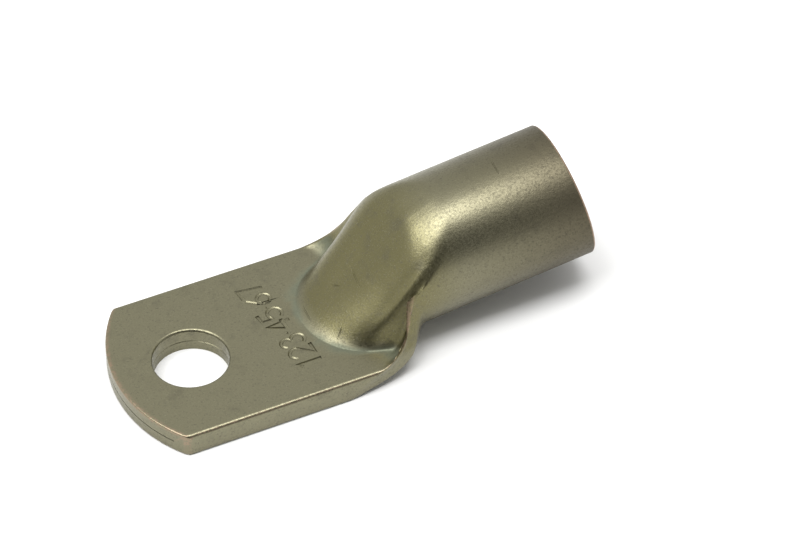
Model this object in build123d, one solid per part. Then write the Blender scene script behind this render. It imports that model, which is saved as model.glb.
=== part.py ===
from build123d import *
from dataclasses import dataclass
import math
import os

# Copper tube cable lug: one length of round tube, flattened and punched at one end.
# Lengths are in millimetres and angles in degrees.
# The origin is the centre of the stud hole on the palm's underside.
# +X runs along the lug to the barrel's mouth, and +Z points up out of the palm.

# Tube
bore_diameter = 19.0
tube_wall = 2.5

# Palm, the flattened end
palm_width = 33.4
palm_thickness = 4.5
flat_length = 20.3
tip_length = 13.45
tip_radius = 26.2
tip_corner_radius = 0.8
top_edge_radius = 0.7
bottom_edge_radius = 0.5
tip_edge_radius = 0.35
palm_overlap = 1.5

# Stud hole
stud_hole_diameter = 13.0
hole_rim_radius = 0.5

# Seam between the two pressed walls, open where the tube was cut
seam_gap = 0.16
seam_depth = 0.5

# Neck, between the flat palm and the round barrel
neck_length = 28.7
press_nose_radius = 12.4
nose_side_limit = 0.995
pressed_wall = 2.1
cavity_start = 1.5
cavity_lag = 1.0
round_lead = 1.5

# Barrel
barrel_length = 22.1
barrel_rise_angle = 6.35
rise_bend_start = 12.0
rise_bend_length = 10.0
mouth_skew_angle = 4.5
mouth_outer_radius = 0.4
mouth_inner_chamfer = 0.25

# Sections lofted along the neck, and points on each stretch of half a section
skin_steps = 10
skin_counts = (5, 2, 2, 2, 8)
cavity_steps = 8
cavity_breaks = (0.0, 0.5, 1.0)
cavity_counts = (10, 10)
fuse_tolerance = 1e-3

# Sizes that follow from the ones above
tube_radius = bore_diameter / 2 + tube_wall
bore_radius = bore_diameter / 2
hole_radius = stud_hole_diameter / 2
half_width = palm_width / 2
neck_start = flat_length
neck_end = neck_start + neck_length
mouth_station = neck_end + barrel_length
bend_from = neck_start + rise_bend_start
bend_to = bend_from + rise_bend_length
bend_radius = rise_bend_length / math.radians(barrel_rise_angle)
barrel_start = neck_end + round_lead
palm_end = neck_start - palm_overlap
seam_height = palm_thickness / 2
seam_half_width = half_width - seam_height
tip_centre = tip_radius - tip_length


@dataclass(frozen=True)
class TubeLine:
    """One line along the tube wall, from the flat palm to the round barrel.

    place is its share of the way round the half section, from the middle of the
    underside (0) to the middle of the top (1). leaves and reaches are the shares of
    the neck's length at which it leaves the flat form and reaches the round one.
    start is how steeply it sets off, and quarter, half and late are how far it has
    come at a quarter, half and three quarters of its way.
    """

    place: float
    leaves: float
    reaches: float
    start: float
    quarter: float
    half: float
    late: float


BOTTOM = TubeLine(0.0, leaves=0.12, reaches=0.69, start=0.1, quarter=0.07, half=0.18, late=0.44)
CORNER = TubeLine(0.34, leaves=0.09, reaches=0.67, start=0.1, quarter=0.07, half=0.18, late=0.42)
SIDE = TubeLine(0.45, leaves=0.055, reaches=0.635, start=0.1, quarter=0.07, half=0.17, late=0.38)
FOLD = TubeLine(0.545, leaves=0.21, reaches=0.52, start=0.0, quarter=0.05, half=0.16, late=0.36)
VALLEY = TubeLine(0.67, leaves=0.39, reaches=0.638, start=0.0, quarter=0.08, half=0.30, late=0.64)
SHOULDER = TubeLine(0.80, leaves=0.25, reaches=0.85, start=0.5, quarter=0.22, half=0.55, late=0.82)
CROWN = TubeLine(1.0, leaves=0.0, reaches=1.0, start=0.8, quarter=0.27, half=0.61, late=0.90)
TUBE_LINES = (BOTTOM, CORNER, SIDE, FOLD, VALLEY, SHOULDER, CROWN)
WAY_MARKS = (0.0, 0.25, 0.5, 0.75, 1.0)


def curve(marks, values, at, start=0.0):
    """Value at a place on a smooth curve that never overshoots the values it passes through."""
    last = len(marks) - 1
    steps = [(values[i + 1] - values[i]) / (marks[i + 1] - marks[i]) for i in range(last)]
    slopes = [start] + [0.0] * last
    for i in range(1, last):
        if steps[i - 1] * steps[i] > 0:
            slopes[i] = 2 * steps[i - 1] * steps[i] / (steps[i - 1] + steps[i])
    i = max(index for index in range(last) if marks[index] <= at or index == 0)
    span = marks[i + 1] - marks[i]
    t = (at - marks[i]) / span
    left = (1 + 2 * t) * (1 - t) ** 2 * values[i] + t * (1 - t) ** 2 * span * slopes[i]
    right = t * t * (3 - 2 * t) * values[i + 1] + t * t * (t - 1) * span * slopes[i + 1]
    return left + right


def between_lines(place, field):
    """Value of one TubeLine field at any place, on a smooth curve through the lines."""
    places = [line.place for line in TUBE_LINES]
    return curve(places, [getattr(line, field) for line in TUBE_LINES], place)


def flat_runs():
    """Lengths of the stretches round half of the flattened section, from the underside."""
    return (
        half_width - bottom_edge_radius,
        bottom_edge_radius * math.pi / 2,
        palm_thickness - bottom_edge_radius - top_edge_radius,
        top_edge_radius * math.pi / 2,
        half_width - top_edge_radius,
    )


def flat_breaks():
    """Places round the half section where straight and round stretches meet."""
    runs = flat_runs()
    return [sum(runs[:count]) / sum(runs) for count in range(6)]


def flat_point(place):
    """Point (across, up) of the flattened outer skin at a place round the section."""
    runs = flat_runs()
    along = place * sum(runs)
    if along <= runs[0]:
        return along, 0.0
    along -= runs[0]
    if along <= runs[1]:
        turn = along / bottom_edge_radius
        across = half_width - bottom_edge_radius + bottom_edge_radius * math.sin(turn)
        return across, bottom_edge_radius - bottom_edge_radius * math.cos(turn)
    along -= runs[1]
    if along <= runs[2]:
        return half_width, bottom_edge_radius + along
    along -= runs[2]
    if along <= runs[3]:
        turn = along / top_edge_radius
        across = half_width - top_edge_radius + top_edge_radius * math.cos(turn)
        return across, palm_thickness - top_edge_radius + top_edge_radius * math.sin(turn)
    along -= runs[3]
    return half_width - top_edge_radius - along, palm_thickness


def leave_station(place, across):
    """Station at which a line leaves the flat palm; on top the press nose sets it."""
    if place <= VALLEY.place:
        return neck_start + between_lines(place, "leaves") * neck_length
    held = min(across, nose_side_limit * press_nose_radius)
    return neck_start + press_nose_radius - math.sqrt(press_nose_radius**2 - held**2)


def roundness(station, place, across):
    """Share of the way from the flat form (0) to the round form (1)."""
    leave = leave_station(place, across)
    reach = neck_start + between_lines(place, "reaches") * neck_length
    share = min(max((station - leave) / (reach - leave), 0.0), 1.0)
    ways = [between_lines(place, field) for field in ("quarter", "half", "late")]
    return curve(WAY_MARKS, [0.0, *ways, 1.0], share, between_lines(place, "start"))


def skin_point(station, place):
    """Point (across, up) of the outer skin at a station and a place round the section."""
    flat_across, flat_up = flat_point(place)
    turn = math.pi * place
    share = roundness(station, place, flat_across)
    across = flat_across + (tube_radius * math.sin(turn) - flat_across) * share
    up = flat_up + (tube_radius - tube_radius * math.cos(turn) - flat_up) * share
    return across, up


def cavity_point(station, place):
    """Point (across, up) of the cavity's skin, an ellipse that grows from the seam to the bore."""
    wide_from = min((station - neck_start) / (VALLEY.reaches * neck_length), 1.0)
    cavity_half_width = bore_radius * math.sqrt(1 - (1 - wide_from) ** 2)
    wall = pressed_wall + (tube_wall - pressed_wall) * roundness(station, CROWN.place, 0)
    floor = skin_point(station, BOTTOM.place)[1] + wall
    roof = skin_point(station - cavity_lag, CROWN.place)[1] - wall
    turn = math.pi * place
    across = cavity_half_width * math.sin(turn)
    return across, (floor + roof) / 2 - (roof - floor) / 2 * math.cos(turn)


def station_plane(station):
    """Plane across the tube at a station measured along the underside."""
    turn = min(max((station - bend_from) / bend_radius, 0.0), math.radians(barrel_rise_angle))
    before = min(station, bend_from)
    beyond = max(station - bend_to, 0.0)
    x = before + bend_radius * math.sin(turn) + beyond * math.cos(turn)
    z = bend_radius * (1 - math.cos(turn)) + beyond * math.sin(turn)
    return Plane(origin=(x, 0, z), x_dir=(0, 1, 0), z_dir=(math.cos(turn), 0, math.sin(turn)))


def barrel_plane(station):
    """Plane square to the barrel with its origin on the barrel's axis."""
    plane = station_plane(station)
    return plane.shift_origin(plane.from_local_coords(Vector(0, tube_radius, 0)))


def section_wire(station, point_at, breaks, counts):
    """Closed wire across the tube, one spline for each stretch between two breaks."""
    plane = station_plane(station)
    edges = []
    for side in (1, -1):
        for low, high, count in zip(breaks, breaks[1:], counts):
            places = [low + (high - low) * step / count for step in range(count + 1)]
            points = [point_at(station, place) for place in places]
            world = [plane.from_local_coords(Vector(side * across, up, 0)) for across, up in points]
            edges.append(Edge.make_spline(world))
    return Wire(edges)


def loft_skin(stations, point_at, breaks, counts):
    """Loft sections and return the skin's faces and the flat face that ends it at the barrel."""
    wires = [section_wire(station, point_at, breaks, counts) for station in stations]
    faces = Solid.make_loft(wires, ruled=False).faces().sort_by(Axis.X)
    return faces[:-1], faces[-1]


def build_neck():
    """Sew the neck from its outer skin, its cavity's skin and the ring at the barrel."""
    stations = [palm_end, (palm_end + neck_start) / 2, neck_start]
    stations += [neck_start + neck_length * step / skin_steps for step in range(1, skin_steps + 1)]
    stations.append(barrel_start)
    outer_faces, outer_end = loft_skin(stations, skin_point, flat_breaks(), skin_counts)
    first = neck_start + cavity_start
    length = neck_end + cavity_lag - first
    stations = [first + length * step / cavity_steps for step in range(cavity_steps + 1)]
    stations.append(barrel_start)
    inner_faces, inner_end = loft_skin(stations, cavity_point, cavity_breaks, cavity_counts)
    ring = Face(outer_end.outer_wire(), [inner_end.outer_wire()])
    return Solid(Shell(outer_faces + inner_faces + [ring]))


def build_barrel():
    """Round barrel with its exact bore, sawn a little out of square at the mouth."""
    start = barrel_plane(barrel_start)
    length = mouth_station - barrel_start + tube_radius
    tube = Solid.make_cylinder(tube_radius, length, start)
    tube = tube.cut(Solid.make_cylinder(bore_radius, length, start))
    saw_cut = barrel_plane(mouth_station).rotated((0, -mouth_skew_angle, 0))
    tube = tube.split(saw_cut, keep=Keep.BOTTOM)
    mouth = tube.faces().sort_by(Axis.X)[-1]
    tube = tube.fillet(mouth_outer_radius, mouth.outer_wire().edges())
    mouth = tube.faces().filter_by(GeomType.PLANE).sort_by(Axis.X)[-1]
    return tube.chamfer(mouth_inner_chamfer, None, mouth.inner_wires()[0].edges())


def build_palm():
    """Flat palm: the flattened section run forwards, cut to an arc at the tip and punched."""
    section = Face(section_wire(palm_end, skin_point, flat_breaks(), skin_counts))
    blank = extrude(section, amount=palm_end + tip_radius, dir=(-1, 0, 0))
    far = palm_end + neck_length
    corner_x = tip_centre - math.sqrt(tip_radius**2 - half_width**2)
    with BuildSketch(Plane.XY) as plan:
        with BuildLine():
            ThreePointArc((corner_x, half_width), (-tip_length, 0), (corner_x, -half_width))
            Line((corner_x, -half_width), (far, -half_width))
            Line((far, -half_width), (far, half_width))
            Line((far, half_width), (corner_x, half_width))
        make_face()
        fillet(plan.vertices().group_by(Axis.X)[0], tip_corner_radius)
    outline = extrude(plan.sketch, amount=palm_thickness)
    level_edges = outline.edges().filter_by(lambda edge: edge.bounding_box().size.Z < seam_gap)
    near_edges = level_edges.filter_by(lambda edge: edge.center().X < palm_end)
    palm = blank & fillet(near_edges, tip_edge_radius)
    return palm - build_tip_seam() - build_stud_hole()


def build_tip_seam():
    """Slit along the tip's cut face, where the two walls meet."""
    with BuildSketch(Plane.XY.offset(seam_height - seam_gap / 2)) as slit:
        with Locations((tip_centre, 0)):
            Circle(tip_radius + seam_depth)
            Circle(tip_radius - seam_depth, mode=Mode.SUBTRACT)
        with Locations((-tip_length, 0)):
            Rectangle(tip_radius, 2 * seam_half_width, mode=Mode.INTERSECT)
    return extrude(slit.sketch, amount=seam_gap)


def build_stud_hole():
    """Tool for the punched hole, whose top rim is rolled over."""
    flare = hole_radius + hole_rim_radius
    rolled_from = palm_thickness - hole_rim_radius
    with BuildSketch(Plane.XZ) as profile:
        with BuildLine():
            Line((0, 0), (hole_radius, 0))
            Line((hole_radius, 0), (hole_radius, rolled_from))
            RadiusArc((hole_radius, rolled_from), (flare, palm_thickness), hole_rim_radius)
            Line((flare, palm_thickness), (0, palm_thickness))
            Line((0, palm_thickness), (0, 0))
        make_face()
    return revolve(profile.sketch, axis=Axis.Z)


neck = build_neck()
body = neck.fuse(build_barrel(), tol=fuse_tolerance)
body = body.fuse(build_palm().solid(), tol=fuse_tolerance)
os.makedirs("parts", exist_ok=True)
export_step(body, "parts/cable_lug.step")
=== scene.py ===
"""Looks of the copper tube cable lug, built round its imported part.

Lengths are in millimetres until a point is placed, and metres in the meshes. The origin is
the centre of the stud hole on the palm's underside, +X runs to the barrel's mouth, +Z is up.
"""

import logging
import math
from dataclasses import dataclass
from enum import Enum
from typing import Callable, Iterator

import bmesh
import bpy
from mathutils import Matrix, Vector
from mathutils.bvhtree import BVHTree


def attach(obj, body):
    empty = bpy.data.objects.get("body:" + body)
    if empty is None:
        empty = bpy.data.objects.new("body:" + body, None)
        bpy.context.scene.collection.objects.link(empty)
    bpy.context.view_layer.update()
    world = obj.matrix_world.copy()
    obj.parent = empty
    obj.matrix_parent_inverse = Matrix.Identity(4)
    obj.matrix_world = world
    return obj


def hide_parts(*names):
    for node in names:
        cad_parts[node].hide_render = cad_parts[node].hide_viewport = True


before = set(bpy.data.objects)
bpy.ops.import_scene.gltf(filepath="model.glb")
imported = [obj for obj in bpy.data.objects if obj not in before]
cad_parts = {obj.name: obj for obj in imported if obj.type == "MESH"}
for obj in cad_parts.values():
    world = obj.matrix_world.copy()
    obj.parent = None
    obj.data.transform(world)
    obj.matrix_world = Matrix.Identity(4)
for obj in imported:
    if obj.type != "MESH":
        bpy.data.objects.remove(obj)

MM = 0.001
TOUCHING = 1e-7
SHARP_FROM = 35
WEAR = "wear"
TARNISH = "tarnish"
LOG = logging.getLogger("cable_lug")

PlacePoint = Callable[[float], Vector]


@dataclass(frozen=True)
class LugSizes:
    """Sizes of the lug, in millimetres and degrees, as in the part's own source."""

    bore_radius: float = 9.5
    tube_wall: float = 2.5
    pressed_wall: float = 2.1
    palm_width: float = 33.4
    palm_thickness: float = 4.5
    flat_length: float = 20.3
    tip_length: float = 13.45
    tip_radius: float = 26.2
    tip_corner_radius: float = 0.8
    tip_edge_radius: float = 0.35
    top_edge_radius: float = 0.7
    bottom_edge_radius: float = 0.5
    hole_radius: float = 6.5
    hole_rim_radius: float = 0.5
    seam_gap: float = 0.16
    seam_depth: float = 0.5
    neck_length: float = 28.7
    nose_radius: float = 12.4
    nose_side_limit: float = 0.995
    cavity_start: float = 1.5
    cavity_lag: float = 1.0
    cavity_growth: float = 18.3
    barrel_length: float = 22.09
    rise_angle: float = 6.35
    rise_start: float = 12.0
    rise_length: float = 10.0
    mouth_skew: float = 4.5
    mouth_outer_edge: float = 0.4
    mouth_inner_edge: float = 0.25

    @property
    def tube_radius(self) -> float:
        """Outside radius of the barrel."""
        return self.bore_radius + self.tube_wall

    @property
    def half_width(self) -> float:
        """Half the palm's width."""
        return self.palm_width / 2

    @property
    def seam_height(self) -> float:
        """Height of the seam between the two pressed walls."""
        return self.palm_thickness / 2

    @property
    def neck_end(self) -> float:
        """Station at which the neck is fully round."""
        return self.flat_length + self.neck_length

    @property
    def tip_centre(self) -> float:
        """Place along the lug of the centre of the tip's arc."""
        return self.tip_radius - self.tip_length


@dataclass(frozen=True)
class TubeLine:
    """One line along the tube wall, from the flat palm to the round barrel.

    place is its share of the way round the half section from the underside's middle, and
    leaves and reaches are the shares of the neck at which it leaves the flat form and
    reaches the round one. start is how steeply it sets off, and come is how far it has come
    at a quarter, half and three quarters of its way.
    """

    place: float
    leaves: float
    reaches: float
    start: float
    come: tuple[float, float, float]


UNDERSIDE_LINES = (
    TubeLine(place=0.0, leaves=0.12, reaches=0.69, start=0.1, come=(0.07, 0.18, 0.44)),
    TubeLine(place=0.34, leaves=0.09, reaches=0.67, start=0.1, come=(0.07, 0.18, 0.42)),
    TubeLine(place=0.45, leaves=0.055, reaches=0.635, start=0.1, come=(0.07, 0.17, 0.38)),
)
CROWN = TubeLine(place=1.0, leaves=0.0, reaches=1.0, start=0.8, come=(0.27, 0.61, 0.90))
NEAR_LINES = (
    *UNDERSIDE_LINES,
    TubeLine(place=0.545, leaves=0.21, reaches=0.52, start=0.0, come=(0.05, 0.16, 0.36)),
    TubeLine(place=0.60, leaves=0.31, reaches=0.70, start=0.0, come=(0.08, 0.52, 0.86)),
    TubeLine(place=0.66, leaves=0.40, reaches=0.80, start=0.4, come=(0.40, 0.74, 0.91)),
    TubeLine(place=0.75, leaves=0.25, reaches=0.88, start=0.6, come=(0.29, 0.60, 0.87)),
    CROWN,
)
FAR_LINES = (
    *UNDERSIDE_LINES,
    TubeLine(place=0.545, leaves=0.21, reaches=0.56, start=0.0, come=(0.06, 0.18, 0.47)),
    TubeLine(place=0.61, leaves=0.30, reaches=0.63, start=0.0, come=(0.12, 0.48, 0.83)),
    TubeLine(place=0.67, leaves=0.34, reaches=0.66, start=0.0, come=(0.21, 0.58, 0.86)),
    TubeLine(place=0.785, leaves=0.25, reaches=0.82, start=0.6, come=(0.32, 0.67, 0.91)),
    CROWN,
)
VALLEY = 5
JUST_PAST = 1e-6


def curve(marks: list[float], values: list[float], at: float, start: float = 0.0) -> float:
    """Value on a smooth curve that never overshoots the values it passes through.

    Args:
        marks: where the values hold, in rising order.
        values: one value for each mark.
        at: where the curve is read.
        start: the curve's slope at its first mark.

    Returns:
        The curve's value.
    """
    last = len(marks) - 1
    steps = [(values[i + 1] - values[i]) / (marks[i + 1] - marks[i]) for i in range(last)]
    slopes = [start] + [0.0] * last
    for i in range(1, last):
        if steps[i - 1] * steps[i] > 0:
            slopes[i] = 2 * steps[i - 1] * steps[i] / (steps[i - 1] + steps[i])
    i = max(index for index in range(last) if marks[index] <= at or index == 0)
    span = marks[i + 1] - marks[i]
    t = (at - marks[i]) / span
    left = (1 + 2 * t) * (1 - t) ** 2 * values[i] + t * (1 - t) ** 2 * span * slopes[i]
    right = t * t * (3 - 2 * t) * values[i + 1] + t * t * (t - 1) * span * slopes[i + 1]
    return left + right


@dataclass(frozen=True)
class FlatOutline:
    """Rounded outline of a flattened section: half its width, its height and its edges."""

    half_width: float
    low: float
    high: float
    low_radius: float
    high_radius: float

    def point(self, stretch: int, share: float) -> tuple[float, float]:
        """Point on the outline.

        Args:
            stretch: 0 underside, 1 lower edge, 2 side, 3 upper edge, 4 top.
            share: share of the way along that stretch, away from the underside's middle.

        Returns:
            The point's distance from the middle plane and its height.
        """
        turn = share * math.pi / 2
        if stretch == 0:
            return share * (self.half_width - self.low_radius), self.low
        if stretch == 1:
            inner = self.half_width - self.low_radius
            rise = self.low_radius * (1 - math.cos(turn))
            return inner + self.low_radius * math.sin(turn), self.low + rise
        if stretch == 2:
            bottom = self.low + self.low_radius
            return self.half_width, bottom + share * (self.high - self.high_radius - bottom)
        if stretch == 3:
            inner = self.half_width - self.high_radius
            rise = self.high_radius * (1 - math.sin(turn))
            return inner + self.high_radius * math.cos(turn), self.high - rise
        return (1 - share) * (self.half_width - self.high_radius), self.high


@dataclass
class PressedTube:
    """The tube's form on one side: flat palm, pressed neck and round barrel."""

    sizes: LugSizes
    lines: tuple[TubeLine, ...]

    def __post_init__(self) -> None:
        """Work out how far each stretch of the section runs."""
        sizes = self.sizes
        self.valley = self.lines[VALLEY].place
        self.flat = FlatOutline(
            sizes.half_width,
            0.0,
            sizes.palm_thickness,
            sizes.bottom_edge_radius,
            sizes.top_edge_radius,
        )
        runs = (
            sizes.half_width - sizes.bottom_edge_radius,
            sizes.bottom_edge_radius * math.pi / 2,
            sizes.palm_thickness - sizes.bottom_edge_radius - sizes.top_edge_radius,
            sizes.top_edge_radius * math.pi / 2,
            sizes.half_width - sizes.top_edge_radius,
        )
        self.breaks = [sum(runs[:count]) / sum(runs) for count in range(len(runs) + 1)]

    def stretch_of(self, place: float) -> tuple[int, float]:
        """Find a place on the flat section.

        Args:
            place: share of the way round.

        Returns:
            The stretch that it lies on and the share of the way along that stretch.
        """
        for stretch in range(4):
            if place <= self.breaks[stretch + 1]:
                break
        else:
            stretch = 4
        low, high = self.breaks[stretch], self.breaks[stretch + 1]
        return stretch, (place - low) / (high - low)

    def between_lines(self, place: float, values: list[float]) -> float:
        """Value at any place, on a smooth curve through one value for each line."""
        return curve([line.place for line in self.lines], values, place)

    def leave_station(self, place: float, across: float) -> float:
        """Station at which a line leaves the flat palm; on top the press nose sets it.

        Args:
            place: share of the way round.
            across: distance of the flat section from the middle plane.

        Returns:
            The station, in mm.
        """
        sizes = self.sizes
        if place <= self.valley:
            share = self.between_lines(place, [line.leaves for line in self.lines])
            return sizes.flat_length + share * sizes.neck_length
        held = min(across, sizes.nose_side_limit * sizes.nose_radius)
        return sizes.flat_length + sizes.nose_radius - math.sqrt(sizes.nose_radius**2 - held**2)

    def crease_station(self, place: float) -> float:
        """Station of the crease round the pressed nose, carried straight on below it."""
        place = max(place, self.valley + JUST_PAST)
        return self.leave_station(place, self.flat.point(*self.stretch_of(place))[0])

    def roundness(self, station: float, place: float, across: float) -> float:
        """Share of the way from the flat form (0) to the round form (1).

        Args:
            station: distance along the lug.
            place: share of the way round.
            across: distance of the flat section from the middle plane.

        Returns:
            The share.
        """
        sizes, lines = self.sizes, self.lines
        leave = self.leave_station(place, across)
        reaches = self.between_lines(place, [line.reaches for line in lines])
        reach = sizes.flat_length + reaches * sizes.neck_length
        share = min(max((station - leave) / (reach - leave), 0.0), 1.0)
        come = [self.between_lines(place, [line.come[i] for line in lines]) for i in range(3)]
        start = self.between_lines(place, [line.start for line in lines])
        return curve([0.0, 0.25, 0.5, 0.75, 1.0], [0.0, *come, 1.0], share, start)

    def skin_point(self, station: float, place: float) -> tuple[float, float]:
        """Point of the outer skin.

        Args:
            station: distance along the lug.
            place: share of the way round.

        Returns:
            The point's distance from the middle plane and its height.
        """
        radius = self.sizes.tube_radius
        flat_across, flat_up = self.flat.point(*self.stretch_of(place))
        turn = math.pi * place
        share = self.roundness(station, place, flat_across)
        across = flat_across + (radius * math.sin(turn) - flat_across) * share
        up = flat_up + (radius - radius * math.cos(turn) - flat_up) * share
        return across, up

    def cavity_point(self, station: float, place: float) -> tuple[float, float]:
        """Point of the cavity's skin, an ellipse that grows from seam to bore.

        Args:
            station: distance along the lug.
            place: share of the way round.

        Returns:
            The point's distance from the middle plane and its height.
        """
        sizes = self.sizes
        grown = min((station - sizes.flat_length) / sizes.cavity_growth, 1.0)
        half_width = sizes.bore_radius * math.sqrt(1 - (1 - grown) ** 2)
        rounder = self.roundness(station, 1.0, 0.0)
        wall = sizes.pressed_wall + (sizes.tube_wall - sizes.pressed_wall) * rounder
        floor = self.skin_point(station, 0.0)[1] + wall
        roof = self.skin_point(station - sizes.cavity_lag, 1.0)[1] - wall
        turn = math.pi * place
        return half_width * math.sin(turn), (floor + roof) / 2 - (roof - floor) / 2 * math.cos(turn)

    def ring_point(self, radius: float, place: float) -> tuple[float, float]:
        """Point (across, up) on a circle about the barrel's axis."""
        turn = math.pi * place
        return radius * math.sin(turn), self.sizes.tube_radius - radius * math.cos(turn)

    def to_part(self, station: float, across: float, up: float) -> Vector:
        """Place a section's point in the part.

        Args:
            station: distance along the underside's bent line.
            across: distance from the middle plane.
            up: height over the underside's line, square to it.

        Returns:
            The point in the part's frame, in metres.
        """
        sizes = self.sizes
        bend_from = sizes.flat_length + sizes.rise_start
        bend_radius = sizes.rise_length / math.radians(sizes.rise_angle)
        turned = (station - bend_from) / bend_radius
        turn = min(max(turned, 0.0), math.radians(sizes.rise_angle))
        before = min(station, bend_from)
        beyond = max(station - bend_from - sizes.rise_length, 0.0)
        x = before + bend_radius * math.sin(turn) + beyond * math.cos(turn) - up * math.sin(turn)
        z = bend_radius * (1 - math.cos(turn)) + beyond * math.sin(turn) + up * math.cos(turn)
        return Vector((x, across, z)) * MM


@dataclass(frozen=True)
class NeckPart:
    """A part of the neck whose folds the press left soft, and how often it is smoothed."""

    from_station: float
    to_station: float
    from_place: float
    to_place: float
    off_crease: float
    passes: int


SOFT_PARTS = (
    NeckPart(from_station=20.0, to_station=37.0, from_place=0.60, to_place=1.0,
             off_crease=0.3, passes=2),
    NeckPart(from_station=27.0, to_station=47.0, from_place=0.57, to_place=0.95,
             off_crease=1.0, passes=24),
    NeckPart(from_station=24.0, to_station=38.0, from_place=0.57, to_place=0.70,
             off_crease=-2.5, passes=10),
)


@dataclass(frozen=True)
class Handling:
    """Where the tin is rubbed off and where tarnish gathers: stations in mm, places as shares."""

    tip_top: float = 0.55
    tip_bottom: float = 0.3
    mouth: float = 1.0
    palm_edge: float = 0.55
    palm_edge_width: float = 0.012
    ridge: float = 0.6
    ridge_station: float = 34.0
    ridge_length: float = 4.0
    ridge_place: float = 0.565
    ridge_width: float = 0.045
    tarnish_from_place: float = 0.575
    nose_front_place: float = 0.86
    tarnish_width: float = 1.3
    valley_tarnish_width: float = 3.4


@dataclass(frozen=True)
class RingGrid:
    """How finely the skin is drawn: quads on each stretch of the half ring, and ring steps."""

    stretch_counts: tuple[int, ...] = (50, 4, 6, 6, 66)
    palm_rings: int = 10
    edge_rings: int = 5
    face_rings: int = 4
    crease_rings: int = 24
    neck_rings: int = 118
    barrel_rings: int = 20
    cavity_rings: int = 30
    crowding_to_tip: float = 1.6


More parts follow.
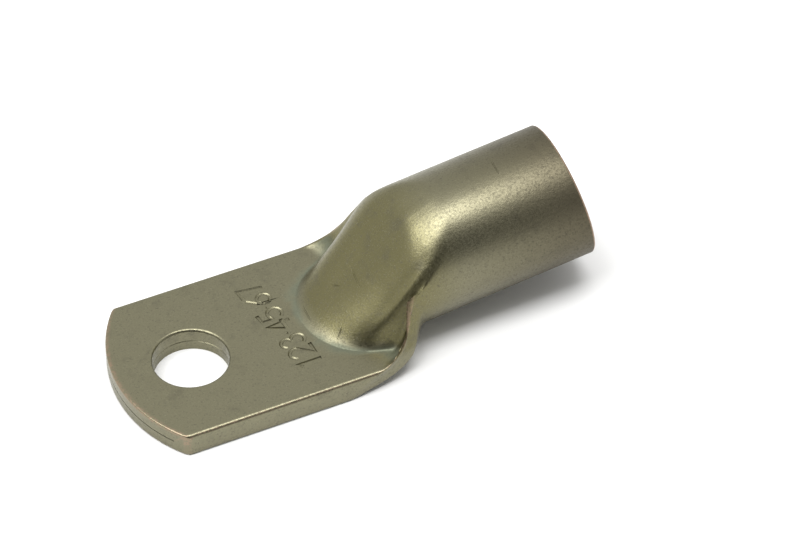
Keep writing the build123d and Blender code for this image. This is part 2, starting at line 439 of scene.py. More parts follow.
@dataclass
class LugHalf:
    """Rings of one side of the lug, in order from the seam at the tip to the cavity's end."""

    tube: PressedTube
    grid: RingGrid = RingGrid()
    handling: Handling = Handling()

    def __post_init__(self) -> None:
        """List the places round half a ring."""
        self.sizes = self.tube.sizes
        self.places: list[float] = []
        for stretch, count in enumerate(self.grid.stretch_counts):
            low, high = self.tube.breaks[stretch], self.tube.breaks[stretch + 1]
            self.places += [low + (high - low) * step / count for step in range(count)]
        self.places.append(1.0)

    def tip_half_width(self, depth: float) -> float:
        """Half the palm's width near the tip, inside its rounded corners.

        Args:
            depth: distance behind the tip's arc.

        Returns:
            The half width, in mm.
        """
        sizes = self.sizes
        to_corner = sizes.tip_radius - sizes.tip_corner_radius
        corner_turn = math.asin((sizes.half_width - sizes.tip_corner_radius) / to_corner)
        reach = sizes.tip_radius - depth
        cosine = (reach**2 + to_corner**2 - sizes.tip_corner_radius**2) / (2 * reach * to_corner)
        width = reach * math.sin(corner_turn + math.acos(min(cosine, 1.0)))
        past_side = reach * math.cos(corner_turn + math.acos(min(cosine, 1.0)))
        side_end = to_corner * math.cos(corner_turn)
        return width if past_side > side_end else sizes.half_width

    def tip_point(self, outline: FlatOutline, depth: float, place: float) -> Vector:
        """Point of an outline that follows the tip's arc.

        Args:
            outline: the outline, flat across the palm.
            depth: distance behind the tip's arc.
            place: share of the way round.

        Returns:
            The point in the part's frame, in metres.
        """
        sizes = self.sizes
        across, up = outline.point(*self.tube.stretch_of(place))
        reach = sizes.tip_radius - depth
        return Vector((sizes.tip_centre - math.sqrt(reach**2 - across**2), across, up)) * MM

    def tip_outline(self, depth: float, inset: float) -> FlatOutline:
        """Outline of the palm at a depth behind the tip, drawn in by the tip's rounded edge."""
        sizes = self.sizes
        return FlatOutline(
            self.tip_half_width(depth) - inset,
            inset,
            sizes.palm_thickness - inset,
            sizes.bottom_edge_radius,
            sizes.top_edge_radius,
        )

    def slit_outline(self, gap: float) -> FlatOutline:
        """Outline of the seam's slit in the tip's face."""
        sizes = self.sizes
        return FlatOutline(
            sizes.half_width - sizes.seam_height,
            sizes.seam_height - gap / 2,
            sizes.seam_height + gap / 2,
            gap / 2,
            gap / 2,
        )

    def tip_rings(self) -> list[PlacePoint]:
        """Rings from the bottom of the seam's slit over the tip's face to its rounded edge.

        Returns:
            For each ring, the point at any place round it.
        """
        sizes, grid = self.sizes, self.grid
        slit, shut = self.slit_outline(sizes.seam_gap), self.slit_outline(sizes.seam_gap / 8)
        face = self.tip_outline(0.0, sizes.tip_edge_radius)
        rings: list[PlacePoint] = [
            lambda place: self.tip_point(shut, sizes.seam_depth, place),
            lambda place: self.tip_point(slit, sizes.seam_depth - sizes.seam_gap, place),
        ]
        for step in range(grid.face_rings + 1):
            share = step / grid.face_rings
            rings.append(lambda place, share=share: self.tip_point(slit, 0.0, place).lerp(
                self.tip_point(face, 0.0, place), share))
        for step in range(1, grid.edge_rings + 1):
            turn = math.pi / 2 * (1 - step / grid.edge_rings)
            depth = sizes.tip_edge_radius * (1 - math.sin(turn))
            outline = self.tip_outline(depth, sizes.tip_edge_radius * (1 - math.cos(turn)))
            rings.append(lambda place, depth=depth, outline=outline: self.tip_point(
                outline, depth, place))
        return rings

    def palm_rings(self) -> list[PlacePoint]:
        """Rings along the flat palm, from the tip's arc to a straight one at the neck.

        Returns:
            For each ring, the point at any place round it.
        """
        sizes, grid = self.sizes, self.grid
        arc = self.tip_outline(sizes.tip_edge_radius, 0.0)
        rings: list[PlacePoint] = []
        for step in range(1, grid.palm_rings + 1):
            share = (step / grid.palm_rings) ** grid.crowding_to_tip
            rings.append(lambda place, share=share: self.tip_point(
                arc, sizes.tip_edge_radius, place).lerp(
                self.section_point(self.tube.skin_point, sizes.flat_length - 1, place), share))
        return rings

    def section_point(self, point_at: Callable, station: float, place: float) -> Vector:
        """Point in the part, by a section's formula."""
        return self.tube.to_part(station, *point_at(station, place))

    def neck_station(self, step: int, place: float) -> float:
        """Station of a neck ring; one of the rings runs along the crease.

        Args:
            step: the ring's number, counted from the palm.
            place: share of the way round.

        Returns:
            The station, in mm.
        """
        sizes, grid = self.sizes, self.grid
        crease, start = self.tube.crease_station(place), sizes.flat_length - 1
        if step < grid.crease_rings:
            return start + (crease - start) * (step + 1) / (grid.crease_rings + 1)
        beyond = (step - grid.crease_rings) / grid.neck_rings
        return crease + (sizes.neck_end - crease) * beyond

    def neck_rings(self) -> list[PlacePoint]:
        """Rings over the pressed neck's outer skin."""
        count = self.grid.crease_rings + self.grid.neck_rings + 1
        return [lambda place, step=step: self.section_point(
            self.tube.skin_point, self.neck_station(step, place), place) for step in range(count)]

    def barrel_point(self, share: float, back: float, radius: float, place: float) -> Vector:
        """Point of a ring on the barrel or in its bore.

        Args:
            share: share of the way from the neck to the mouth.
            back: distance behind that station.
            radius: the ring's radius about the barrel's axis.
            place: share of the way round.

        Returns:
            The point in the part's frame, in metres.
        """
        sizes = self.sizes
        across, up = self.tube.ring_point(radius, place)
        skew = (up - sizes.tube_radius) * math.tan(math.radians(sizes.mouth_skew))
        station = sizes.neck_end + share * (sizes.barrel_length - skew) - back
        return self.tube.to_part(station, across, up)

    def barrel_rings(self) -> list[PlacePoint]:
        """Rings along the barrel, over the sawn mouth and back down the bore.

        Returns:
            For each ring, the point at any place round it.
        """
        sizes, grid = self.sizes, self.grid
        outer, inner = sizes.mouth_outer_edge, sizes.mouth_inner_edge
        stops: list[tuple[float, float, float]] = []
        for step in range(1, grid.barrel_rings):
            stops.append((step / grid.barrel_rings, 0.0, sizes.tube_radius))
        for step in range(grid.edge_rings + 1):
            turn = math.pi / 2 * step / grid.edge_rings
            radius = sizes.tube_radius - outer * (1 - math.cos(turn))
            stops.append((1.0, outer * (1 - math.sin(turn)), radius))
        for step in range(1, grid.face_rings):
            share = step / grid.face_rings
            width = sizes.tube_wall - outer - inner
            stops.append((1.0, 0.0, sizes.tube_radius - outer - width * share))
        for step in range(grid.edge_rings + 1):
            turn = math.pi / 2 * (1 - step / grid.edge_rings)
            radius = sizes.bore_radius + inner * (1 - math.cos(turn))
            stops.append((1.0, inner * (1 - math.sin(turn)), radius))
        for step in range(grid.barrel_rings - 1, 1, -1):
            stops.append((step / grid.barrel_rings, 0.0, sizes.bore_radius))
        return [lambda place, stop=stop: self.barrel_point(*stop, place) for stop in stops]

    def cavity_rings(self) -> list[PlacePoint]:
        """Rings down the tapering cavity, from the bore to the closed seam.

        Returns:
            For each ring, the point at any place round it.
        """
        sizes, grid = self.sizes, self.grid
        first = sizes.flat_length + sizes.cavity_start
        length = sizes.neck_end + sizes.cavity_lag - first
        count = grid.cavity_rings
        stations = [first + length * step / count for step in range(count, -1, -1)]
        return [lambda place, station=station: self.section_point(
            self.tube.cavity_point, station, place) for station in stations]

    def rings(self) -> list[PlacePoint]:
        """All rings in order, from the seam at the tip to the end of the cavity."""
        outside = self.tip_rings() + self.palm_rings() + self.neck_rings()
        return outside + self.barrel_rings() + self.cavity_rings()

    def ridge_wear(self, station: float, place: float) -> float:
        """Wear on the folded ridge at the side of the neck.

        Args:
            station: distance along the lug.
            place: share of the way round.

        Returns:
            The wear, up to 1.
        """
        worn = self.handling
        along = max(0.0, 1 - abs(station - worn.ridge_station) / worn.ridge_length)
        across = max(0.0, 1 - abs(place - worn.ridge_place) / worn.ridge_width)
        return min(worn.ridge, along * across)

    def crease_tarnish(self, station: float, place: float) -> float:
        """Tarnish gathered round the pressed nose and in the valley beside it.

        Args:
            station: distance along the lug.
            place: share of the way round.

        Returns:
            The tarnish, up to 1.
        """
        stained = self.handling
        if place < stained.tarnish_from_place:
            return 0.0
        past = station - self.tube.crease_station(place)
        narrow = past > 0 or place > stained.nose_front_place
        return max(0.0, 1 - abs(past) / (
            stained.tarnish_width if narrow else stained.valley_tarnish_width))

    def edge_wear(self, place: float) -> float:
        """Wear along the palm's top edge.

        Args:
            place: share of the way round.

        Returns:
            The wear, up to 1.
        """
        middle = (self.tube.breaks[3] + self.tube.breaks[4]) / 2
        away = abs(place - middle) / self.handling.palm_edge_width
        return self.handling.palm_edge * max(0.0, 1 - away)


Ring = list[bmesh.types.BMVert]


@dataclass
class LugSkin:
    """The whole lug as one closed skin, drawn out ring by ring."""

    near: LugHalf
    far: LugHalf

    def __post_init__(self) -> None:
        """Take the places round half a ring, which both sides share."""
        self.places = self.near.places

    def place_ring(self, ring: Ring, near_at: PlacePoint, far_at: PlacePoint) -> None:
        """Move a ring's vertices to their places, one half on each side.

        Args:
            ring: the ring's vertices, from the underside's middle round by the far side.
            near_at: the near side's point for each place.
            far_at: the far side's point for each place.
        """
        last = len(self.places) - 1
        for index, place in enumerate(self.places):
            ring[index].co = far_at(place)
            if 0 < index < last:
                point = near_at(place)
                ring[-index].co = Vector((point.x, -point.y, point.z))

    def next_ring(self, bm: bmesh.types.BMesh, ring: Ring) -> Ring:
        """Extrude a ring's edges.

        Args:
            bm: the skin so far.
            ring: its last ring.

        Returns:
            The new ring in the same order.
        """
        edges = [bm.edges.get((vert, ring[i - 1])) for i, vert in enumerate(ring)]
        made = bmesh.ops.extrude_edge_only(bm, edges=edges)["geom"]
        fresh = {item for item in made if isinstance(item, bmesh.types.BMVert)}
        following = []
        for vert in ring:
            following.append(next(edge.other_vert(vert) for edge in vert.link_edges
                                  if edge.other_vert(vert) in fresh))
        return following

    def on_neck(self, rings: list[Ring]) -> Iterator[
            tuple[LugHalf, bmesh.types.BMVert, float, float]]:
        """Go through the vertices of the neck's rings.

        Args:
            rings: all rings of the skin.

        Yields:
            Each vertex's side, the vertex, its station and its place.
        """
        first = len(self.near.tip_rings()) + len(self.near.palm_rings())
        count = len(self.near.neck_rings())
        for step, ring in enumerate(rings[first:first + count]):
            for index, place in enumerate(self.places):
                yield self.far, ring[index], self.far.neck_station(step, place), place
                if 0 < index < len(self.places) - 1:
                    yield self.near, ring[-index], self.near.neck_station(step, place), place

    def soften(self, bm: bmesh.types.BMesh, rings: list[Ring]) -> None:
        """Smooth the folds that the press left soft, off the crease.

        Args:
            bm: the skin.
            rings: all its rings.
        """
        for part in SOFT_PARTS:
            verts = []
            for side, vert, station, place in self.on_neck(rings):
                clear = station >= side.tube.crease_station(place) + part.off_crease
                in_part = part.from_station <= station <= part.to_station
                if clear and in_part and part.from_place <= place <= part.to_place:
                    verts.append(vert)
            for _ in range(part.passes):
                bmesh.ops.smooth_vert(bm, verts=verts, factor=0.5,
                                      use_axis_x=True, use_axis_y=True, use_axis_z=True)

    def mark(self, bm: bmesh.types.BMesh, rings: list[Ring]) -> None:
        """Write how worn and how tarnished each point is into the mesh's own attributes.

        Args:
            bm: the skin.
            rings: all its rings.
        """
        wear, tarnish = bm.verts.layers.float[WEAR], bm.verts.layers.float[TARNISH]
        side, worn = self.near, self.near.handling
        tips, edge = len(side.tip_rings()), side.grid.edge_rings
        necks = tips + len(side.palm_rings())
        mouth = necks + len(side.neck_rings()) + side.grid.barrel_rings - 1
        for index, ring in enumerate(rings):
            for step, place in enumerate(self.places):
                rubbed = 0.0
                if tips - edge - 1 <= index < tips:
                    rubbed = worn.tip_top if place > 0.5 else worn.tip_bottom
                elif mouth < index <= mouth + edge:
                    rubbed = worn.mouth
                elif index < necks + side.grid.crease_rings:
                    rubbed = side.edge_wear(place)
                ring[step][wear] = ring[-step][wear] = rubbed
        for side, vert, station, place in self.on_neck(rings):
            vert[wear] = max(vert[wear], side.ridge_wear(station, place))
            vert[tarnish] = side.crease_tarnish(station, place)

    def build(self, name: str) -> bpy.types.Object:
        """Draw the skin ring by ring.

        Args:
            name: the object's name.

        Returns:
            The closed skin as an object, linked to the scene.
        """
        bm = bmesh.new()
        bm.verts.layers.float.new(WEAR)
        bm.verts.layers.float.new(TARNISH)
        count = 2 * (len(self.places) - 1)
        ring = bmesh.ops.create_circle(bm, cap_ends=True, segments=count, radius=MM)["verts"]
        rings = []
        for index, (near_at, far_at) in enumerate(zip(self.near.rings(), self.far.rings())):
            if index:
                ring = self.next_ring(bm, ring)
            self.place_ring(ring, near_at, far_at)
            rings.append(ring)
        end = [bm.edges.get((vert, ring[i - 1])) for i, vert in enumerate(ring)]
        bmesh.ops.holes_fill(bm, edges=end)
        self.soften(bm, rings)
        self.mark(bm, rings)
        bmesh.ops.remove_doubles(bm, verts=bm.verts, dist=TOUCHING)
        bmesh.ops.recalc_face_normals(bm, faces=bm.faces)
        return new_object(name, bm)


def new_object(name: str, bm: bmesh.types.BMesh) -> bpy.types.Object:
    """Turn a finished bmesh into an object in the scene.

    Args:
        name: the object's name.
        bm: the mesh, which is freed.

    Returns:
        The new object.
    """
    mesh = bpy.data.meshes.new(name)
    bm.to_mesh(mesh)
    bm.free()
    piece = bpy.data.objects.new(name, mesh)
    bpy.context.scene.collection.objects.link(piece)
    return piece


def rod(name: str, points: list[Vector], radius: float) -> bpy.types.Object:
    """Make a round bar along points, closed at its ends.

    Args:
        name: the object's name.
        points: the bar's middle line, in metres.
        radius: the bar's radius, in mm.

    Returns:
        The bar as an object.
    """
    line = bpy.data.curves.new(name, "CURVE")
    line.dimensions = "3D"
    line.bevel_depth = radius * MM
    line.bevel_resolution = 3
    line.use_fill_caps = True
    spline = line.splines.new("POLY")
    spline.points.add(len(points) - 1)
    for knot, point in zip(spline.points, points):
        knot.co = (*point, 1.0)
    holder = bpy.data.objects.new(name, line)
    mesh = bpy.data.meshes.new_from_object(holder)
    bpy.data.objects.remove(holder)
    bpy.data.curves.remove(line)
    bm = bmesh.new()
    bm.from_mesh(mesh)
    bpy.data.meshes.remove(mesh)
    bmesh.ops.remove_doubles(bm, verts=bm.verts, dist=TOUCHING)
    bmesh.ops.recalc_face_normals(bm, faces=bm.faces)
    return new_object(name, bm)


def surface_of(piece: bpy.types.Object) -> BVHTree:
    """Make a piece's skin ready to be met by rays.

    Args:
        piece: the piece, at the origin.

    Returns:
        The skin as a tree of faces.
    """
    bm = bmesh.new()
    bm.from_mesh(piece.data)
    tree = BVHTree.FromBMesh(bm)
    bm.free()
    return tree


@dataclass(frozen=True)
class StudHole:
    """The punched hole, cut with a turned tool: rolled rim, torn seam and a sharp lower edge."""

    sizes: LugSizes
    segments: int = 160
    rim_steps: int = 8
    seam_depth: float = 0.12
    seam_half_height: float = 0.10
    seam_share: float = 0.42
    beyond: float = 1.0
    flare: float = 0.3
    lift: float = 0.02

    def profile(self) -> list[tuple[float, float]]:
        """Draw the tool's outline.

        Returns:
            Radius and height of each point, from below the palm to above it.
        """
        sizes = self.sizes
        radius, rim, top = sizes.hole_radius, sizes.hole_rim_radius, sizes.palm_thickness
        seam = self.seam_share * top
        points = [(radius, -self.beyond), (radius, seam - self.seam_half_height)]
        points.append((radius + self.seam_depth, seam))
        points.append((radius, seam + self.seam_half_height))
        for step in range(self.rim_steps + 1):
            turn = math.pi / 2 * step / self.rim_steps
            points.append((radius + rim * (1 - math.cos(turn)), top - rim * (1 - math.sin(turn))))
        points.append((radius + rim + self.flare, top + self.lift))
        points.append((radius + rim + self.flare, top + self.beyond))
        return points

    def tool(self) -> bpy.types.Object:
        """Spin the outline into a closed cutting tool.

        Returns:
            The tool as an object.
        """
        bm = bmesh.new()
        verts = [bm.verts.new((radius * MM, 0.0, height * MM)) for radius, height in self.profile()]
        edges = [bm.edges.new(pair) for pair in zip(verts, verts[1:])]
        bmesh.ops.spin(bm, geom=verts + edges, cent=(0, 0, 0), axis=(0, 0, 1),
                       angle=math.tau, steps=self.segments, use_merge=True)
        bmesh.ops.holes_fill(bm, edges=[edge for edge in bm.edges if edge.is_boundary])
        bmesh.ops.recalc_face_normals(bm, faces=bm.faces)
        return new_object("stud_hole_tool", bm)


Stroke = tuple[tuple[float, float], ...]


def arc(centre: tuple[float, float], radius: float, start: float, end: float) -> Stroke:
    """Draw an arc.

    Args:
        centre: its centre in the sign's cell.
        radius: its radius.
        start: its first angle, in degrees.
        end: its last angle, in degrees.

    Returns:
        Points along the arc.
    """
    turns = [math.radians(start + (end - start) * step / 12) for step in range(13)]
    return tuple((centre[0] + radius * math.cos(turn), centre[1] + radius * math.sin(turn))
                 for turn in turns)


class Glyph(Enum):
    """Strokes of each stamped sign, in a cell one high and 0.56 wide."""

    ONE = (((0.10, 0.82), (0.30, 1.0), (0.30, 0.0)),)
    TWO = (arc((0.28, 0.72), 0.27, 165, -38) + ((0.02, 0.0), (0.56, 0.0)),)
    THREE = (arc((0.26, 0.76), 0.24, 155, -90), arc((0.26, 0.27), 0.27, 90, -155))
    FOUR = (((0.42, 0.0), (0.42, 1.0), (0.0, 0.30)), ((0.0, 0.30), (0.58, 0.30)))
    FIVE = (((0.52, 1.0), (0.10, 1.0), (0.05, 0.55)) + arc((0.26, 0.32), 0.30, 128, -150),)
    SIX = (((0.48, 0.98), (0.16, 0.62)) + arc((0.28, 0.28), 0.27, 165, 500),)
    SEVEN = (((0.0, 1.0), (0.54, 1.0), (0.18, 0.0)),)
    DOT = (((0.02, 0.42), (0.02, 0.50)),)


@dataclass(frozen=True)
class StampedSign:
    """One sign of the row: what it is, where it starts along the row and how it leans."""

    glyph: Glyph
    along: float
    lean: float = 0.0


@dataclass(frozen=True)
class StampedNumbers:
    """A row of plain numbers punched into the palm, as grooves with a round bottom."""

    sizes: LugSizes
    signs: tuple[StampedSign, ...] = (
        StampedSign(Glyph.ONE, 0.0, -9.0),
        StampedSign(Glyph.TWO, 2.6, -2.0),
        StampedSign(Glyph.THREE, 5.6, 1.0),
        StampedSign(Glyph.DOT, 8.9),
        StampedSign(Glyph.FOUR, 9.9, -3.0),
        StampedSign(Glyph.FIVE, 12.9, 2.0),
        StampedSign(Glyph.DOT, 16.0),
        StampedSign(Glyph.SIX, 16.9, -2.0),
        StampedSign(Glyph.SEVEN, 19.7, 3.0),
    )
    height: float = 4.3
    cell_middle: tuple[float, float] = (0.28, 0.5)
    row_start: tuple[float, float] = (20.1, -10.1)
    row_turn: float = 97.2
    groove_radius: float = 0.42
    groove_depth: float = 0.22

    def point(self, sign: StampedSign, across: float, up: float) -> Vector:
        """Place a sign's point on the palm.

        Args:
            sign: the sign.
            across: the point's distance across its cell, as a share of the sign's height.
            up: the point's height in the cell, as a share of the sign's height.

        Returns:
            The point on the palm's underside, in metres.
        """
        lean = math.radians(sign.lean)
        middle, centre = self.cell_middle
        shifted = (across - middle) * math.cos(lean) - (up - centre) * math.sin(lean) + middle
        raised = (across - middle) * math.sin(lean) + (up - centre) * math.cos(lean) + centre
        along, over = sign.along + shifted * self.height, raised * self.height
        turn = math.radians(self.row_turn)
        x = self.row_start[0] + along * math.cos(turn) - over * math.sin(turn)
        y = self.row_start[1] + along * math.sin(turn) + over * math.cos(turn)
        return Vector((x, y, 0.0)) * MM

    def bar(self, sign: StampedSign, stroke: Stroke) -> bpy.types.Object:
        """Lay a round bar along one stroke, sunk into the palm's top.

        Args:
            sign: the sign.
            stroke: one of its strokes.

        Returns:
            The bar as an object.
        """
        height = (self.sizes.palm_thickness + self.groove_radius - self.groove_depth) * MM
        points = [self.point(sign, across, up) + Vector((0, 0, height)) for across, up in stroke]
        return rod("stamp_bar", points, self.groove_radius)

    def tools(self) -> list[bpy.types.Object]:
        """One bar for each stroke of each sign."""
        return [self.bar(sign, stroke) for sign in self.signs for stroke in sign.glyph.value]


@dataclass(frozen=True)
class Scratch:
    """A shallow scratch on top of the lug, between two points seen from above, in mm."""

    start: tuple[float, float]
    end: tuple[float, float]
    radius: float = 0.15
    depth: float = 0.12
    steps: int = 8
    height_over: float = 60.0

    def tool(self, surface: BVHTree) -> bpy.types.Object:
        """Make a thin bar that follows the surface and only dips into it.

        Args:
            surface: the skin to scratch.

        Returns:
            The bar as an object.
        """
        start = Vector((*self.start, self.height_over))
        end = Vector((*self.end, self.height_over))
        points = []
        for step in range(self.steps + 1):
            share = step / self.steps
            found, normal, _, _ = surface.ray_cast(start.lerp(end, share) * MM, (0, 0, -1))
            dip = self.depth * math.sin(math.pi * (0.05 + 0.9 * share))
            points.append(found + normal * (self.radius - dip) * MM)
        return rod("scratch_bar", points, self.radius)


SCRATCHES = (
    Scratch((30.2, 1.7), (29.8, -3.6)),
    Scratch((21.7, 2.5), (21.5, -1.2)),
    Scratch((25.1, -6.2), (23.6, -7.5)),
    Scratch((26.6, 1.5), (27.7, -0.1), depth=0.08),
    Scratch((56.5, 1.8), (56.3, -2.1)),
)


def cut(piece: bpy.types.Object, tools: list[bpy.types.Object]) -> None:
    """Cut tools out of a piece for good and delete the tools.

    Args:
        piece: the piece to cut.
        tools: the closed tools, which may overlap one another.
    """
    kit = bpy.data.collections.new("cutting_tools")
    for tool in tools:
        kit.objects.link(tool)
    change = piece.modifiers.new("cut", "BOOLEAN")
    change.operation = "DIFFERENCE"
    change.solver = "MANIFOLD"
    change.operand_type = "COLLECTION"
    change.collection = kit
    graph = bpy.context.evaluated_depsgraph_get()
    mesh = bpy.data.meshes.new_from_object(piece.evaluated_get(graph))
    piece.modifiers.clear()
    old = piece.data
    piece.data = mesh
    bpy.data.meshes.remove(old)
    for tool in tools:
        bpy.data.objects.remove(tool)
    bpy.data.collections.remove(kit)


@dataclass(frozen=True)
class PhotoCamera:
    """The photograph's viewpoint: bearing, height and roll in degrees, distances in mm."""

    bearing: float = 24.4219
    elevation: float = 44.9021
    roll: float = -0.5144
    distance: float = 675.9066
    shift_right: float = -35.1754
    shift_up: float = -18.5643
    focal_length: float = 180.0

    def build(self) -> bpy.types.Object:
        """Make the camera and set it as the scene's.

        Returns:
            The camera.
        """
        bearing, elevation = math.radians(self.bearing), math.radians(self.elevation)
        roll = math.radians(self.roll)
        back = Vector((-math.sin(bearing) * math.cos(elevation),
                       -math.cos(bearing) * math.cos(elevation), math.sin(elevation)))
        level = Vector((math.cos(bearing), -math.sin(bearing), 0.0))
        upright = back.cross(level)
        right = math.cos(roll) * level + math.sin(roll) * upright
        up = -math.sin(roll) * level + math.cos(roll) * upright
        centre = self.distance * back - self.shift_right * right - self.shift_up * up
        lens = bpy.data.cameras.new("photo_camera")
        lens.lens = self.focal_length
        lens.sensor_width = 36.0
        lens.clip_start = 0.01
        camera = bpy.data.objects.new("photo_camera", lens)
        camera.matrix_world = Matrix.Translation(centre * MM) @ Matrix(
            (right, up, back)).transposed().to_4x4()
        bpy.context.scene.collection.objects.link(camera)
        bpy.context.scene.camera = camera
        return camera


@dataclass(frozen=True)
class SoftLight:
    """A soft box: where it stands, what it points at, its size and its strength."""

    name: str
    place: tuple[float, float, float]
    aim: tuple[float, float, float]
    width: float
    height: float
    watts: float

    def build(self) -> None:
        """Make the light."""
        lamp = bpy.data.lights.new(self.name, "AREA")
        lamp.shape = "RECTANGLE"
        lamp.size = self.width
        lamp.size_y = self.height
        lamp.energy = self.watts
        light = bpy.data.objects.new(self.name, lamp)
        direction = Vector(self.aim) - Vector(self.place)
        light.rotation_euler = direction.to_track_quat("-Z", "Y").to_euler()
        light.location = self.place
        bpy.context.scene.collection.objects.link(light)


@dataclass(frozen=True)
class Studio:
    """Pale floor, soft surroundings that darken towards the viewer's side, and soft boxes."""

    lights: tuple[SoftLight, ...] = (
        SoftLight("overhead_box", (0.05, -0.13, 0.78), (0.04, 0.0, 0.0), 0.56, 0.27, 3.7),
        SoftLight("left_box", (-0.40, -0.02, 0.74), (0.04, 0.0, 0.0), 0.52, 0.52, 4.6),
    )
    far_glow: tuple[float, float, float] = (1.0, 1.0, 0.98)
    gloom_sides: tuple[tuple[float, float, float], ...] = (
        (-0.05, -0.80, 0.58), (-0.60, -0.75, 0.28))
    gloom_edge: float = 0.74
    gloom_core: float = 0.97
    gloom_left: float = 0.08
    floor_size: float = 3.0
    floor_shade: float = 0.80

    def build(self) -> None:
        """Make the floor, the surroundings and the lights."""
        bm = bmesh.new()
        bmesh.ops.create_grid(bm, x_segments=1, y_segments=1, size=self.floor_size)
        floor = new_object("floor", bm)
        floor.data.materials.append(self.floor_paint())
        bpy.context.scene.world = self.surroundings()
        for light in self.lights:
            light.build()
        bpy.context.scene.view_settings.view_transform = "Standard"

    def surroundings(self) -> bpy.types.World:
        """Make an even glow all round that falls off towards the dark sides of the room.

        Returns:
            The world.
        """
        world = bpy.data.worlds.new("studio")
        world.use_nodes = True
        nodes = Nodes(world.node_tree)
        direction = nodes.new("ShaderNodeTexCoord").outputs["Generated"]
        falls = []
        for side in self.gloom_sides:
            towards = nodes.new("ShaderNodeVectorMath")
            towards.operation = "DOT_PRODUCT"
            towards.inputs[1].default_value = Vector(side).normalized()
            nodes.join(direction, towards.inputs[0])
            falls.append(nodes.ramp(towards.outputs["Value"], self.gloom_edge, self.gloom_core,
                                    1.0, self.gloom_left))
        glow = nodes.tree.nodes["Background"]
        glow.inputs["Color"].default_value = (*self.far_glow, 1)
        nodes.join(nodes.sum("MINIMUM", *falls), glow.inputs["Strength"])
        return world

    def floor_paint(self) -> bpy.types.Material:
        """Mix the floor's matt white.

        Returns:
            The material.
        """
        paint = bpy.data.materials.new("floor_white")
        paint.use_nodes = True
        shader = paint.node_tree.nodes["Principled BSDF"]
        shader.inputs["Base Color"].default_value = (*[self.floor_shade] * 3, 1)
        shader.inputs["Roughness"].default_value = 0.9
        shader.inputs["Specular IOR Level"].default_value = 0.1
        return paint


class Nodes:
    """The nodes of a material or of the surroundings, laid out by short calls."""

    def __init__(self, tree: bpy.types.NodeTree) -> None:
        """Keep the tree."""
        self.tree = tree

    def new(self, kind: str) -> bpy.types.Node:
        """Add a node."""
        return self.tree.nodes.new(kind)

    def join(self, source: bpy.types.NodeSocket, target: bpy.types.NodeSocket) -> None:
        """Link two sockets."""
        self.tree.links.new(source, target)

    def own_place(self) -> bpy.types.NodeSocket:
        """The piece's own coordinates."""
        return self.new("ShaderNodeTexCoord").outputs["Object"]

    def noise(self, scale: float, detail: float, roughness: float = 0.5,
              offset: tuple[float, float, float] = (0.0, 0.0, 0.0)) -> bpy.types.NodeSocket:
        """Add noise on the piece's own coordinates.

        Args:
            scale: waves to a metre.
            detail: how many finer layers it has.
            roughness: how strong the finer layers are.
            offset: where the noise is read, so that two noises differ.

        Returns:
            The noise, from 0 to 1.
        """
        shift = self.new("ShaderNodeMapping")
        shift.inputs["Location"].default_value = offset
        self.join(self.own_place(), shift.inputs["Vector"])
        node = self.new("ShaderNodeTexNoise")
        node.inputs["Scale"].default_value = scale
        node.inputs["Detail"].default_value = detail
        node.inputs["Roughness"].default_value = roughness
        self.join(shift.outputs["Vector"], node.inputs["Vector"])
        return node.outputs["Fac"]

    def attribute(self, name: str) -> bpy.types.NodeSocket:
        """Read one of the mesh's own attributes.

        Args:
            name: the attribute's name.

        Returns:
            Its value.
        """
        node = self.new("ShaderNodeAttribute")
        node.attribute_name = name
        return node.outputs["Fac"]

    def axis(self, name: str) -> bpy.types.NodeSocket:
        """Distance along one of the lug's axes.

        Args:
            name: the axis, such as X.

        Returns:
            The distance, in metres.
        """
        node = self.new("ShaderNodeSeparateXYZ")
        self.join(self.own_place(), node.inputs[0])
        return node.outputs[name]

    def ramp(self, value: bpy.types.NodeSocket, start: float, end: float,
             low: float = 0.0, high: float = 1.0) -> bpy.types.NodeSocket:
        """Add a smooth step from one value to another.

        Args:
            value: what the step follows.
            start: where the step starts.
            end: where it ends.
            low: the value before it.
            high: the value after it.

        Returns:
            The stepped value.
        """
        node = self.new("ShaderNodeMapRange")
        node.interpolation_type = "SMOOTHSTEP"
        node.inputs["From Min"].default_value = start
        node.inputs["From Max"].default_value = end
        node.inputs["To Min"].default_value = low
        node.inputs["To Max"].default_value = high
        self.join(value, node.inputs["Value"])
        return node.outputs["Result"]

    def sum(self, operation: str, first: bpy.types.NodeSocket,
            second: bpy.types.NodeSocket | float) -> bpy.types.NodeSocket:
        """Reckon with two values.

        Args:
            operation: the kind of sum.
            first: the first value.
            second: the second value, or a number.

        Returns:
            The result.
        """
        node = self.new("ShaderNodeMath")
        node.operation = operation
        self.join(first, node.inputs[0])
        if isinstance(second, float):
            node.inputs[1].default_value = second
        else:
            self.join(second, node.inputs[1])
        return node.outputs["Value"]

    def tinted(self, under: bpy.types.NodeSocket | tuple[float, float, float],
               over: tuple[float, float, float], share: bpy.types.NodeSocket,
               blend: str = "MIX") -> bpy.types.NodeSocket:
        """Lay one colour over another by a share that varies over the surface.

        Args:
            under: the colour below.
            over: the colour on top.
            share: how much of the upper colour shows.
            blend: how the two are mixed.

        Returns:
            The mixed colour.
        """
        node = self.new("ShaderNodeMix")
        node.data_type = "RGBA"
        node.blend_type = blend
        if isinstance(under, tuple):
            node.inputs[6].default_value = (*under, 1)
        else:
            self.join(under, node.inputs[6])
        node.inputs[7].default_value = (*over, 1)
        self.join(share, node.inputs[0])
        return node.outputs[2]


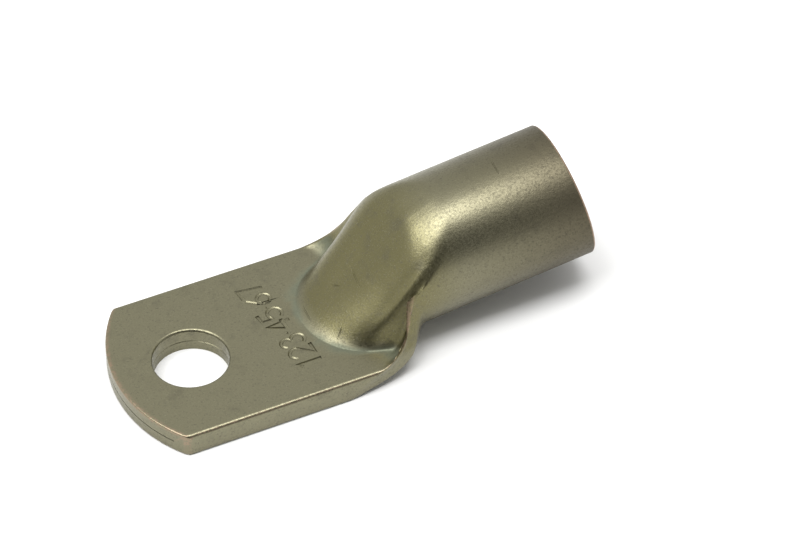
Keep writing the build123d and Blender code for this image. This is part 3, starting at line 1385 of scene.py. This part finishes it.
@dataclass(frozen=True)
class TinnedCopper:
    """Dull, mottled tin over copper, browner and coarser towards the mouth."""

    name: str = "tinned_copper"
    tin: tuple[float, float, float] = (0.205, 0.194, 0.128)
    dark_grain: tuple[float, float, float] = (0.115, 0.108, 0.078)
    light_grain: tuple[float, float, float] = (0.30, 0.285, 0.20)
    olive: tuple[float, float, float] = (0.165, 0.152, 0.076)
    brown: tuple[float, float, float] = (0.50, 0.46, 0.47)
    copper: tuple[float, float, float] = (0.36, 0.25, 0.18)
    verdigris: tuple[float, float, float] = (0.165, 0.178, 0.130)
    roughness: float = 0.34
    mouth_roughness: float = 0.50
    stain_roughness: float = 0.26
    mouth_fade: tuple[float, float] = (0.036, 0.076)
    olive_above: tuple[float, float] = (0.0047, 0.0064)
    olive_fade: tuple[float, float] = (0.047, 0.036)
    cloud_scale: float = 260.0
    pit_scale: float = 1150.0
    grain_scale: float = 2600.0
    speck_scale: float = 5200.0
    bump_strength: float = 0.55
    bump_height: float = 0.00008

    def build(self) -> bpy.types.Material:
        """Make the material.

        Returns:
            The material.
        """
        metal = bpy.data.materials.new(self.name)
        metal.use_nodes = True
        nodes = Nodes(metal.node_tree)
        shader = metal.node_tree.nodes["Principled BSDF"]
        along = nodes.axis("X")
        to_mouth = nodes.ramp(along, *self.mouth_fade)
        clouds = nodes.noise(self.cloud_scale, 4.0, 0.6)
        grain = nodes.noise(self.grain_scale, 3.0, 0.7, offset=(0.3, 0.1, 0.2))
        specks = nodes.noise(self.speck_scale, 2.0, 0.6, offset=(0.7, 0.2, 0.5))
        on_nose = nodes.sum("MULTIPLY", nodes.ramp(nodes.axis("Z"), *self.olive_above),
                            nodes.ramp(along, *self.olive_fade))
        stain = nodes.sum("MULTIPLY", nodes.attribute(TARNISH),
                          nodes.ramp(clouds, 0.30, 0.62, 0.45, 1.0))
        rubbed = nodes.sum("MULTIPLY", nodes.attribute(WEAR),
                           nodes.ramp(grain, 0.36, 0.60, 0.35, 1.0))
        colour = nodes.tinted(self.tin, self.olive, on_nose)
        colour = nodes.tinted(colour, self.dark_grain, nodes.ramp(clouds, 0.52, 0.80, 0.0, 0.55))
        colour = nodes.tinted(colour, self.dark_grain, nodes.ramp(grain, 0.50, 0.74, 0.0, 0.75))
        colour = nodes.tinted(colour, self.light_grain, nodes.ramp(specks, 0.55, 0.75, 0.0, 0.55))
        colour = nodes.tinted(colour, self.brown, to_mouth, "MULTIPLY")
        colour = nodes.tinted(colour, self.verdigris, nodes.ramp(stain, 0.05, 0.9, 0.0, 0.85))
        colour = nodes.tinted(colour, self.copper, nodes.ramp(rubbed, 0.06, 0.85, 0.0, 0.85))
        nodes.join(colour, shader.inputs["Base Color"])
        shader.inputs["Metallic"].default_value = 1.0
        dull = nodes.ramp(along, *self.mouth_fade, self.roughness, self.mouth_roughness)
        dull = nodes.sum("ADD", dull, nodes.ramp(stain, 0.0, 0.8, 0.0, self.stain_roughness))
        dull = nodes.sum("ADD", dull, nodes.ramp(grain, 0.40, 0.70, -0.03, 0.10))
        nodes.join(dull, shader.inputs["Roughness"])
        nodes.join(self.dimpled(nodes, grain, to_mouth), shader.inputs["Normal"])
        return metal

    def dimpled(self, nodes: Nodes, grain: bpy.types.NodeSocket,
                to_mouth: bpy.types.NodeSocket) -> bpy.types.NodeSocket:
        """Add fine grain all over and coarse pitting towards the mouth.

        Args:
            nodes: the material's nodes.
            grain: the fine grain.
            to_mouth: how near the mouth is, up to 1.

        Returns:
            The bumped normal.
        """
        pits = nodes.noise(self.pit_scale, 3.0, 0.65, offset=(0.9, 0.4, 0.1))
        coarse = nodes.sum("MULTIPLY", pits, nodes.sum("ADD", to_mouth, 0.35))
        bump = nodes.new("ShaderNodeBump")
        bump.inputs["Strength"].default_value = self.bump_strength
        bump.inputs["Distance"].default_value = self.bump_height
        height = nodes.sum("ADD", coarse, nodes.sum("MULTIPLY", grain, 0.5))
        nodes.join(height, bump.inputs["Height"])
        return bump.outputs["Normal"]


def main() -> None:
    """Build the camera, the studio and the lug in order."""
    logging.basicConfig(level=logging.INFO, format="%(name)s: %(message)s")
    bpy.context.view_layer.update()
    PhotoCamera().build()
    Studio().build()
    sizes = LugSizes()
    near, far = (LugHalf(PressedTube(sizes, lines)) for lines in (NEAR_LINES, FAR_LINES))
    lug = LugSkin(near, far).build("lug")
    LOG.info("skin drawn: %d faces", len(lug.data.polygons))
    cut(lug, [StudHole(sizes).tool()])
    LOG.info("stud hole cut: %d faces", len(lug.data.polygons))
    cut(lug, StampedNumbers(sizes).tools())
    LOG.info("numbers stamped: %d faces", len(lug.data.polygons))
    surface = surface_of(lug)
    cut(lug, [scratch.tool(surface) for scratch in SCRATCHES])
    LOG.info("scratches cut: %d faces", len(lug.data.polygons))
    lug.data.shade_smooth()
    lug.data.set_sharp_from_angle(angle=math.radians(SHARP_FROM))
    lug.data.materials.clear()
    lug.data.materials.append(TinnedCopper().build())
    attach(lug, "root")
    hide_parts("cable_lug")


if __name__ == "__main__":
    main()
